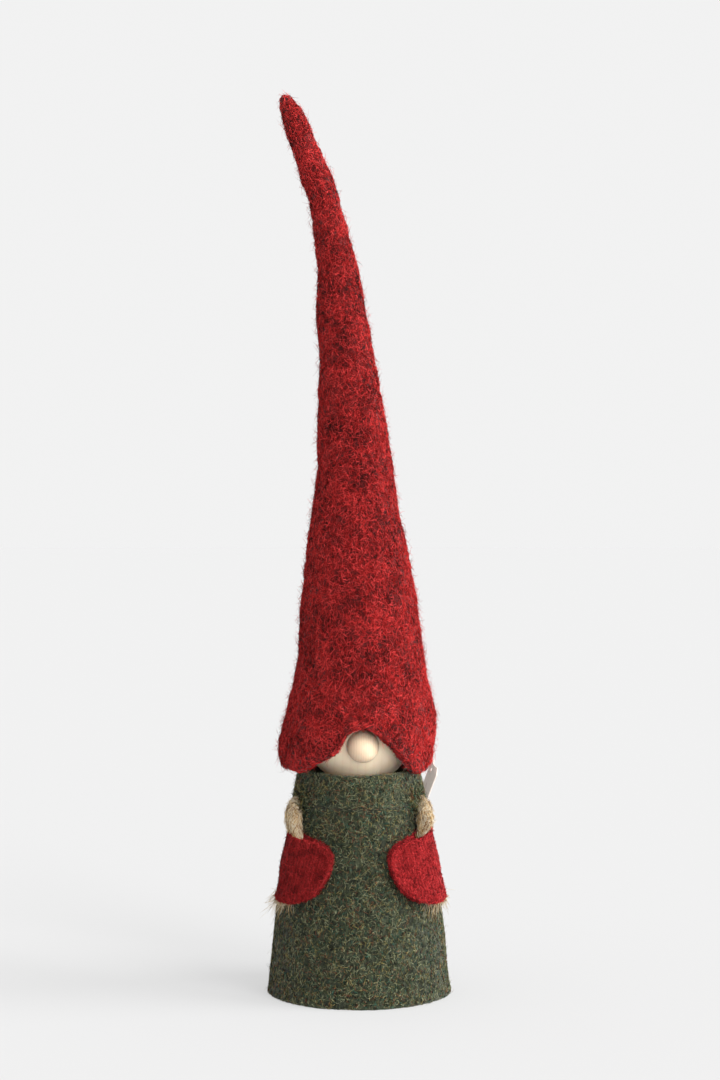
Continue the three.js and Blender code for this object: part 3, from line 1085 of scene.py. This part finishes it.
# ---------------------------------------------------------------------------------------
# Arms and mittens
# ---------------------------------------------------------------------------------------
@dataclass
class Mitten:
    """A piece of wool cloth folded round the rope. Heights are absolute."""

    side: int
    reach: float
    fold_top: float
    fold_foot: float
    tip: float
    crown: float
    crown_peak: float
    foot: float
    foot_drop: float
    # The left mitten's cloth and fibres are darker copies of the right one's: painted shade, not a different dye.
    wool: RibbedWool
    dyes_and_shade: tuple[Fibre, ...]
    cloth: float = 1.5 * MM
    rope: float = 1.9 * MM
    play: float = 0.15 * MM

    def roll(self) -> float:
        """Gives the radius of the cloth's middle where it goes round the rope."""
        return self.rope + self.play + self.cloth / 2

    def channel(self, height: float, out: float = 0.0) -> Vector:
        """Gives the middle of the fold, where the rope runs.

        Args:
            height: Height of the point.
            out: Degrees further round than the middle.

        Returns:
            The point.
        """
        coat = Trunk().radius(height)
        inward = self.roll() + self.cloth / 2
        angle = self.fold_at(height) - math.degrees(inward / (coat + 3 * MM)) + out
        spot = around(angle, coat + self.play + self.cloth / 2 + self.roll(), height)
        return Vector((spot.x * self.side, spot.y, spot.z))

    def fold_at(self, height: Any) -> Any:
        """Gives how far round the fold is at a height, in degrees."""
        drop = (self.tip + self.crown - height) / (self.crown + self.foot)
        return self.fold_top + (self.fold_foot - self.fold_top) * drop

    def section(self, along: np.ndarray) -> tuple[np.ndarray, np.ndarray]:
        """Follows the folded cloth from its back inner edge round the rope to its front one.

        Args:
            along: 0 to 1 along the cloth.

        Returns:
            The distance in from the fold, and the height off the coat.
        """
        roll = self.roll()
        middle = roll + self.cloth / 2
        straight = self.reach - middle
        total = 2 * straight + math.pi * roll
        run = along * total
        turn = np.clip((run - straight) / roll, 0, math.pi) - math.pi / 2
        back = run < straight
        front = run > total - straight
        inward = np.where(back, self.reach - run, middle - roll * np.cos(turn))
        inward = np.where(front, middle + run - (total - straight), inward)
        low = self.play + self.cloth / 2
        ease = np.clip((inward - middle) / (12.0 * MM), 0, 1)
        ease = ease * (0.5 + ease * (1.5 - ease))
        over = low + 2 * roll + (self.cloth + 0.2 * MM - 2 * roll) * ease
        off = np.where(back, low, low + roll + roll * np.sin(turn))
        return inward, np.where(front, over, off)

    def lay(self, along: np.ndarray, up: np.ndarray) -> np.ndarray:
        """Lays the cloth on the coat."""
        inward, off = self.section(0.003 + 0.994 * along)
        share = inward / self.reach
        round_top = np.sqrt(np.clip(1 - share**3.2, 0, 1))
        round_foot = np.sqrt(np.clip(1 - share**3.0, 0, 1))
        above = (self.crown + self.crown_peak * np.exp(-share / 0.14)) * round_top
        below = (self.foot + self.foot_drop * (1 - np.exp(-share / 0.14))) * round_foot
        height = self.tip - below + (above + below) * up
        coat = Trunk().radius(height)
        angle = np.radians(self.fold_at(height)) - inward / (coat + 3 * MM)
        ripple = 0.22 * MM * np.sin(height / (2.3 * MM)) * np.exp(-share / 0.3)
        radius = coat + off + ripple
        return np.stack([self.side * radius * np.sin(angle), -radius * np.cos(angle), height], axis=1)

    def map_cloth(self, sheet: bpy.types.Object) -> None:
        """Sizes the cloth's map in metres and marks its cut edges."""
        wide = 2 * self.reach
        tall = self.crown + self.foot + self.foot_drop
        layer = sheet.data.uv_layers[0]
        layer.name = "cloth"
        flat = np.empty(len(layer.data) * 2)
        layer.data.foreach_get("uv", flat)
        flat = flat.reshape(-1, 2)
        near = np.minimum(np.minimum(flat[:, 0], 1 - flat[:, 0]) * wide, np.minimum(flat[:, 1], 1 - flat[:, 1]) * tall)
        # The rim mask carries the darker edge colour, painted shade on the cut edges.
        rim = sheet.data.attributes.new("rim", "FLOAT", "CORNER")
        rim.data.foreach_set("value", np.clip(1 - near / (0.9 * MM), 0, 1))
        layer = sheet.data.uv_layers["cloth"]
        layer.data.foreach_set("uv", (flat * (wide, tall)).ravel())

    def cut_line(self) -> np.ndarray:
        """Gives points along the cut edge, on all four sides of the cloth."""
        run, low, high = np.linspace(0, 1, 160), np.zeros(160), np.ones(160)
        sides = ((run, low), (run, high), (low, run), (high, run))
        return np.vstack([self.lay(along, rise) for along, rise in sides])

    def build(self, name: str, body: Body) -> None:
        """Builds and dresses the mitten."""
        sheet = grid(f"{name}_mitten_cloth", 90, 44, self.lay)
        applied(sheet, "SOLIDIFY", thickness=self.cloth, offset=0.0)
        applied(sheet, "BEVEL", width=0.35 * MM, segments=2, limit_method="ANGLE", angle_limit=1.0)
        outward(sheet)
        lumpy(sheet, ((7 * MM, 0.28 * MM), (1.3 * MM, 0.16 * MM)), 3.0 + self.side)
        smooth(sheet)
        self.map_cloth(sheet)
        dress(sheet, self.wool, body, (f"{name}_mitten",))
        trunk = Trunk()

        def front(middles: np.ndarray) -> np.ndarray:
            """Marks the triangles that face away from the coat."""
            return np.hypot(middles[:, 0], middles[:, 1]) > trunk.radius(middles[:, 2]) + 0.9 * MM

        pile = Pile(7000, 1.6 * MM, 0.19 * MM, 0.22 * MM, 0.8 * MM, 50, 120, 40 + self.side, 3)
        fuzz = Fuzz(sheet, upright, front).grow(f"{name}_mitten_nap", pile, self.dyes_and_shade, 3 * MM)
        dress(fuzz, self.dyes_and_shade, body)
        rims = self.cut_line()
        tree = KDTree(len(rims))
        for index, spot in enumerate(rims.tolist()):
            tree.insert(spot, index)
        tree.balance()

        def cut_edge(middles: np.ndarray) -> np.ndarray:
            """Marks the triangles near the cut edge."""
            return np.array([tree.find(spot)[2] for spot in middles.tolist()]) < 1.1 * MM

        pile = Pile(1500, 1.5 * MM, 0.22 * MM, 0.35 * MM, 1.3 * MM, 75, 150, 60 + self.side, 3)
        whips = Fuzz(sheet, upright, cut_edge).grow(f"{name}_mitten_edge", pile, self.dyes_and_shade, 3 * MM)
        dress(whips, self.dyes_and_shade, body)


@dataclass
class Arm:
    """One rope arm, its loose fibres, its frayed end and its mitten."""

    name: str
    side: int
    body: Body
    mitten: Mitten
    fan: tuple[float, float, float]
    diameter: float = 5.2 * MM
    twist: float = 420.0
    droop: tuple[tuple[float, float], ...] = ((58.6, 8.0), (53.2, 1.5), (46.0, 0.0), (38.5, 0.8), (32.8, 6.0))
    trunk: Trunk = field(default_factory=Trunk)

    def route(self) -> np.ndarray:
        """Gives the rope's middle, from inside its hole down through the mitten."""
        trunk = self.trunk
        shoulder = Vector((21.08 * MM * self.side, trunk.shoulder_y, trunk.shoulder_z))
        points = [shoulder + Vector((out * MM * self.side, 0, 0)) for out in (-6.5, -3.4)]
        points.append(shoulder + Vector((-0.4 * MM * self.side, 0.3 * MM, -0.8 * MM)))
        for height, out in self.droop:
            points.append(self.mitten.channel(height * MM, out))
        return smooth_rows(tuple(tuple(p) for p in points), 46)

    def build_rope(self) -> tuple[bpy.types.Object, np.ndarray]:
        """Builds the rope itself: loose strands laid round each other."""
        route = self.route()
        size = self.diameter / 2

        def relief(angle: np.ndarray, distance: np.ndarray) -> np.ndarray:
            """Gives the rope's radius, squeezed in the mitten, with its strands standing out."""
            squeeze = 1 - 0.16 * np.clip((distance - 15 * MM) / (4 * MM), 0, 1)
            return size * squeeze * (0.74 + 0.14 * np.abs(np.cos(1.5 * (angle - self.twist * distance))))

        rope = sweep(f"{self.name}_rope", route, 30, relief)
        lumpy(rope, ((2.4 * MM, 0.25 * MM),), 7.0 + self.side)
        dress(rope, JUTE_GROUND, None, (f"{self.name}_arm_rope",))
        return rope, route

    def build_fibres(self, rope: bpy.types.Object, route: np.ndarray) -> bpy.types.Object:
        """Grows the loose jute over the rope where it shows."""
        tangents = np.gradient(route, axis=0)
        tangents /= np.linalg.norm(tangents, axis=1)[:, None]

        def nearest(points: np.ndarray) -> np.ndarray:
            """Finds the closest point of the route."""
            return np.linalg.norm(points[:, None] - route[None], axis=2).argmin(axis=1)

        def lie(points: np.ndarray) -> np.ndarray:
            """Runs the fibres along the rope, with its twist."""
            at = nearest(points)
            out = points - route[at]
            return tangents[at] + np.cross(tangents[at], out) / (self.diameter * 0.5) * 0.5

        def shown(middles: np.ndarray) -> np.ndarray:
            """Marks the rope above and below the mitten."""
            high = middles[:, 2] > self.mitten.tip + self.mitten.crown - 3 * MM
            free = np.abs(middles[:, 0]) > 18.5 * MM
            low = middles[:, 2] < self.mitten.tip - self.mitten.foot - 1.0 * MM
            return (high & free) | low

        pile = Pile(1500, 5.5 * MM, 0.21 * MM, 0.5 * MM, 1.5 * MM, 24, 70, 60 + self.side, 5)
        fibres = Fuzz(rope, lie, shown).grow(f"{self.name}_rope_fibres", pile, JUTE_FIBRES, 5 * MM)
        def by_coat(middles: np.ndarray) -> np.ndarray:
            """Marks the short length beside the coat."""
            return (np.abs(middles[:, 0]) > 15 * MM) & (np.abs(middles[:, 0]) < 19.2 * MM) & (middles[:, 2] > 60 * MM)

        pile = Pile(420, 3.0 * MM, 0.2 * MM, 0.5 * MM, 1.6 * MM, 60, 120, 70 + self.side, 5)
        lint = Fuzz(rope, upright, by_coat).grow(f"{self.name}_coat_lint", pile, TWEED_FIBRES)
        dress(lint, TWEED_FIBRES, Body.TRUNK)
        return dress(fibres, JUTE_FIBRES, None)

    def build_fray(self, route: np.ndarray) -> bpy.types.Object:
        """Makes the combed-out end of the rope."""
        rng = np.random.default_rng(80 + self.side)
        count, joints = 150, 7
        start = route[-5]
        down = route[-1] - route[-5]
        down /= np.linalg.norm(down)
        spread = rng.normal(0, 1, (count, 3))
        inside = spread / np.linalg.norm(spread, axis=1)[:, None] * rng.random((count, 1)) ** 0.5
        heading = down + np.array(self.fan) * rng.random((count, 1)) + spread * 0.22
        heading /= np.linalg.norm(heading, axis=1)[:, None]
        bend = rng.normal(0, 0.35, (count, 3)) + np.array(self.fan) * 0.4
        length = rng.uniform(3.5, 9.0, count) * MM
        laid = np.empty((count, joints, 3))
        for joint in range(joints):
            t = joint / (joints - 1)
            path = heading * t + bend * t * t * 0.5
            laid[:, joint] = start + inside * self.diameter * 0.42 + path * length[:, None]
        reach = np.hypot(laid[..., 0], laid[..., 1])
        wall = self.trunk.radius(laid[..., 2]) + 0.4 * MM
        push = np.maximum(wall / reach, 1.0)
        laid[..., 0] *= push
        laid[..., 1] *= push
        shade = rng.choice(3, size=count, p=[0.6, 0.3, 0.1])
        tuft = strands(f"{self.name}_frayed_end", laid, rng.uniform(0.1, 0.22, count) * MM, shade)
        return dress(tuft, JUTE_FIBRES, self.body)

    def build(self) -> None:
        """Builds and dresses the arm."""
        rope, route = self.build_rope()
        fibres = self.build_fibres(rope, route)
        tuft = self.build_fray(route)
        self.mitten.build(self.name, self.body)
        for piece in (rope, fibres):
            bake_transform(piece)


# ---------------------------------------------------------------------------------------
# Hat
# ---------------------------------------------------------------------------------------
@dataclass
class Hat:
    """The tall felt hat: a hollow shell of extruded rings under a coat of loose wool."""

    outline: tuple[tuple[float, float, float], ...] = (
        (76.2, -0.9, 25.0),
        (81.0, -1.0, 25.5),
        (88.7, 0.1, 25.0),
        (96.7, 0.5, 23.4),
        (104.7, 0.5, 21.4),
        (120.7, 0.1, 19.7),
        (136.7, -0.2, 17.6),
        (148.7, -1.0, 15.9),
        (160.7, -1.2, 13.8),
        (176.6, -1.6, 12.0),
        (192.0, -2.4, 10.6),
        (208.6, -3.9, 8.9),
        (224.6, -5.8, 7.6),
        (240.6, -6.9, 6.4),
        (256.0, -10.0, 5.3),
        (268.5, -13.4, 4.7),
        (280.5, -18.0, 4.1),
        (290.0, -21.6, 3.4),
        (296.0, -24.0, 2.4),
    )
    brim: float = 76.2 * MM
    wall: float = 4.9 * MM
    tip_wall: float = 4.0 * MM
    hollow: float = 210.0 * MM
    brim_line: tuple[tuple[float, float], ...] = (
        (-180.0, 0.0),
        (-120.0, 0.0),
        (-90.0, 0.6),
        (-76.0, -0.6),
        (-52.0, -0.4),
        (-36.0, 2.6),
        (-19.0, 5.6),
        (-8.0, 11.4),
        (3.0, 13.2),
        (16.0, 11.2),
        (29.0, 6.9),
        (40.0, 3.2),
        (54.0, -1.0),
        (72.0, -0.8),
        (90.0, 0.8),
        (120.0, 0.2),
        (180.0, 0.0),
    )
    push: float = 1.8 * MM
    push_width: float = 28.0
    fade: float = 34.0 * MM
    segments: int = 72

    def rings(self) -> list[tuple[float, float, float]]:
        """Lists the shell's rings from the tip down, round the brim and up inside.

        Returns:
            Radius, sideways place and height of each ring.
        """
        table = smooth_rows(self.outline, 60) * MM
        outside = [(r, lean, z) for z, lean, r in table[::-1].tolist()]
        brim_radius, brim_lean, brim = outside[-1]
        edge = self.wall * 0.42
        lip = [
            (brim_radius - edge * (1 - math.cos(a)), brim_lean, brim - edge * 0.5 * math.sin(a))
            for a in (0.5, 1.0, 1.5, 2.1, 2.7)
        ]
        inside = []
        for height in np.linspace(brim + 1.5 * MM, self.hollow, 16):
            lean = np.interp(height, table[:, 0], table[:, 1])
            outer = np.interp(height, table[:, 0], table[:, 2])
            share = (height - brim) / (self.hollow - brim)
            inside.append((outer - self.wall + (self.wall - self.tip_wall) * share, lean, height))
        return outside + lip + inside

    def extruded(self) -> bpy.types.Object:
        """Extrudes the shell ring by ring."""
        rings = self.rings()
        first = (0.6 * MM, rings[0][1] - 0.6 * MM, rings[0][2] + 1.9 * MM)
        alone()
        bpy.ops.mesh.primitive_circle_add(
            vertices=self.segments,
            radius=first[0],
            fill_type="NGON",
            location=(first[1], 0, first[2]),
        )
        shell = settle(bpy.context.object, "felt_hat")
        pick(shell)
        bpy.ops.object.mode_set(mode="EDIT")
        bpy.ops.mesh.select_mode(type="EDGE")
        bpy.ops.mesh.select_all(action="SELECT")
        dome = (rings[0][0] * 0.72, rings[0][1] - 0.4 * MM, rings[0][2] + 1.3 * MM)
        here = first
        for ring in [dome, *rings]:
            bpy.ops.mesh.extrude_edges_move()
            grow = ring[0] / here[0]
            bpy.ops.transform.resize(value=(grow, grow, 1), center_override=(here[1], 0, here[2]))
            bpy.ops.transform.translate(value=(ring[1] - here[1], 0, ring[2] - here[2]))
            here = ring
        bpy.ops.mesh.edge_face_add()
        bpy.ops.object.mode_set(mode="OBJECT")
        return shell

    def shaped(self, points: np.ndarray) -> np.ndarray:
        """Lifts the brim over the nose and lets its two lobes hang."""
        line = smooth_rows(self.brim_line, 200)
        angle = np.degrees(np.arctan2(points[:, 0], -points[:, 1]))
        share = np.clip(1 - (points[:, 2] - self.brim) / self.fade, 0, 1.1) ** 2
        lifted = points.copy()
        lifted[:, 1] -= self.push * np.exp(-(((angle - 3) / self.push_width) ** 2)) * share
        lifted[:, 2] += np.interp(angle, line[:, 0], line[:, 1]) * MM * share
        return lifted

    def build_shell(self) -> bpy.types.Object:
        """Builds the felt shell."""
        shell = self.extruded()
        outward(shell)
        applied(shell, "SUBSURF", levels=1, render_levels=1)
        moved(shell.data, self.shaped(points_of(shell.data)))
        lumpy(shell, ((16 * MM, 0.9 * MM), (5 * MM, 0.5 * MM), (1.8 * MM, 0.22 * MM)), 6.5)
        smooth(shell)
        return dress(shell, FELT_GROUND, Body.HAT, ("hat",))

    def outer(self, middles: np.ndarray) -> np.ndarray:
        """Marks the triangles on the hat's outside and brim."""
        table = smooth_rows(self.outline, 60) * MM
        lean = np.interp(middles[:, 2], table[:, 0], table[:, 1])
        outside = np.interp(middles[:, 2], table[:, 0], table[:, 2])
        reach = np.hypot(middles[:, 0] - lean, middles[:, 1])
        return (reach > outside - 2.6 * MM) | (middles[:, 2] > self.hollow + 4 * MM)

    def build_wool(self, shell: bpy.types.Object) -> None:
        """Grows the matted wool in four batches, then the stray hairs."""
        ground = Fuzz(shell, upright, self.outer)
        for batch in range(4):
            pile = Pile(14000, 3.2 * MM, 0.25 * MM, 0.5 * MM, 0.9 * MM, 60, 190, 100 + batch, 3)
            wool = ground.grow(f"hat_wool_{batch + 1}", pile, FELT_FIBRES, 8 * MM)
            dress(wool, FELT_FIBRES, Body.HAT)
        for batch in range(2):
            pile = Pile(7000, 4.4 * MM, 0.115 * MM, 0.7 * MM, 2.9 * MM, 60, 130, 130 + batch, 5)
            halo = ground.grow(f"hat_stray_hairs_{batch + 1}", pile, FELT_FIBRES[:3])
            dress(halo, FELT_FIBRES[:3], Body.HAT)

    def build(self) -> None:
        """Builds and dresses the hat."""
        self.build_wool(self.build_shell())


# ---------------------------------------------------------------------------------------
# Tag
# ---------------------------------------------------------------------------------------
@dataclass
class Tag:
    """The small blank hang tag, curled a little with wear, and its thread."""

    wide: float = 9.0 * MM
    tall: float = 11.5 * MM
    thick: float = 0.4 * MM
    corner: float = 1.8 * MM
    curl: float = 0.7 * MM
    hole: float = 0.65 * MM

    def axes(self) -> tuple[np.ndarray, np.ndarray]:
        """Reads the tag node's middle and its across, up and face directions."""
        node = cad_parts["hang_tag"]
        points = np.array([node.matrix_world @ vertex.co for vertex in node.data.vertices])
        middle = (points.min(axis=0) + points.max(axis=0)) / 2
        _, _, rows = np.linalg.svd(points - points.mean(axis=0), full_matrices=False)
        up = rows[0] if abs(rows[0][2]) > abs(rows[1][2]) else rows[1]
        up = up * np.sign(up[2])
        face = rows[2] * np.sign(rows[2] @ (middle * (1, 1, 0)))
        return middle, np.stack([np.cross(up, face), up, face])

    def lay(self, along: np.ndarray, rise: np.ndarray) -> np.ndarray:
        """Lays the card, with its top corners cut off."""
        middle, (across, up, face) = self.axes()
        high = (rise - 0.5) * self.tall
        cut = np.clip(high - (self.tall / 2 - self.corner), 0, None)
        side = (2 * along - 1) * (self.wide / 2 - cut)
        bow = self.curl * ((2 * along - 1) ** 2 - 0.4 + 0.5 * (rise - 0.5) ** 2)
        return middle + np.outer(side, across) + np.outer(high, up) + np.outer(bow, face)

    def build(self) -> None:
        """Builds and dresses the tag."""
        card = grid("hang_tag_card", 24, 30, self.lay)
        applied(card, "SOLIDIFY", thickness=self.thick, offset=0.0)
        outward(card)
        middle, (_, up, face) = self.axes()
        spot = middle + up * (self.tall / 2 - 2.0 * MM)
        alone()
        bpy.ops.mesh.primitive_cylinder_add(
            vertices=24,
            radius=self.hole,
            depth=6 * MM,
            location=tuple(spot),
            rotation=Vector(face).to_track_quat("Z", "Y").to_euler(),
        )
        cutter = settle(bpy.context.object, "tag_hole_cutter")
        applied(card, "BOOLEAN", operation="DIFFERENCE", object=cutter, solver="EXACT")
        bpy.data.objects.remove(cutter)
        smooth(card)
        dress(card, TAG_PAPER, Body.TRUNK, ("hang_tag",))
        paint_node("tag_thread", TAG_THREAD)


# ---------------------------------------------------------------------------------------
# Studio
# ---------------------------------------------------------------------------------------
@dataclass
class Studio:
    """Pale seamless floor, soft lights and the camera."""

    distance: float = 705 * MM
    height: float = 150 * MM
    lens: float = 70.6
    slide: float = 0.3 * MM
    room: float = 80.0
    glow: float = 0.885

    def build_stage(self) -> None:
        """Builds the floor."""
        alone()
        bpy.ops.mesh.primitive_plane_add(size=self.room)
        floor = settle(bpy.context.object, "pale_floor")
        floor.data.materials.append(STAGE_FLOOR.material())

    def lamp(self, name: str, turn: float, rise: float, softness: float, power: float) -> None:
        """Adds a large distant soft light.

        Args:
            name: The light's name.
            turn: Degrees round from the front, towards +X.
            rise: Degrees above the floor.
            softness: Degrees that the light's face covers, seen from the figure.
            power: Light that falls on a face turned to it.
        """
        alone()
        flat = math.cos(math.radians(rise))
        place = around(turn, flat, math.sin(math.radians(rise)))
        bpy.ops.object.light_add(type="SUN", location=place)
        light = bpy.context.object
        light.name = name
        light.data.angle = math.radians(softness)
        light.data.energy = power * math.pi
        light.rotation_euler = (-place).to_track_quat("-Z", "Y").to_euler()

    def build(self) -> None:
        """Builds the studio."""
        self.build_stage()
        self.lamp("key_light", 80, 12, 46, 2.05)
        self.lamp("top_light", 38, 32, 24, 0.48)
        self.lamp("low_fill", 22, 2, 40, 0.75)
        world = bpy.data.worlds.new("soft_room")
        world.use_nodes = True
        world.node_tree.nodes["Background"].inputs[0].default_value = (1.0, 1.0, 1.0, 1.0)
        world.node_tree.nodes["Background"].inputs[1].default_value = self.glow
        bpy.context.scene.world = world
        bpy.ops.object.camera_add(
            location=(self.slide, -self.distance, self.height),
            rotation=(math.pi / 2, 0, 0),
        )
        camera = bpy.context.object
        camera.data.lens = self.lens
        camera.data.sensor_width = 36.0
        bpy.context.scene.camera = camera
        bpy.context.scene.view_settings.view_transform = "Standard"


def main() -> None:
    """Builds the studio and every sub-assembly."""
    logging.basicConfig(level=logging.INFO, format="%(message)s")
    Studio().build()
    # The left mitten takes darker copies of the mitten cloth and fibres: painted shade on the side away from the key
    # light.
    left = Mitten(-1, 17.8 * MM, 55.0, 57.5, 46.0 * MM, 7.2 * MM, 3.8 * MM, 8.6 * MM, 5.0 * MM, SHADED_MITTEN_CLOTH, SHADED_MITTEN_FIBRES)
    right = Mitten(1, 18.1 * MM, 57.0, 61.0, 44.5 * MM, 9.0 * MM, 5.6 * MM, 7.4 * MM, 5.0 * MM, MITTEN_CLOTH, MITTEN_FIBRES)
    Arm("left", -1, Body.LEFT_ARM, left, (-0.15, -0.15, 0.0)).build()
    Arm("right", 1, Body.RIGHT_ARM, right, (-0.5, -0.2, 0.0)).build()
    Trunk().build()
    Head().build()
    Hat().build()
    Tag().build()


if __name__ == "__main__":
    main()
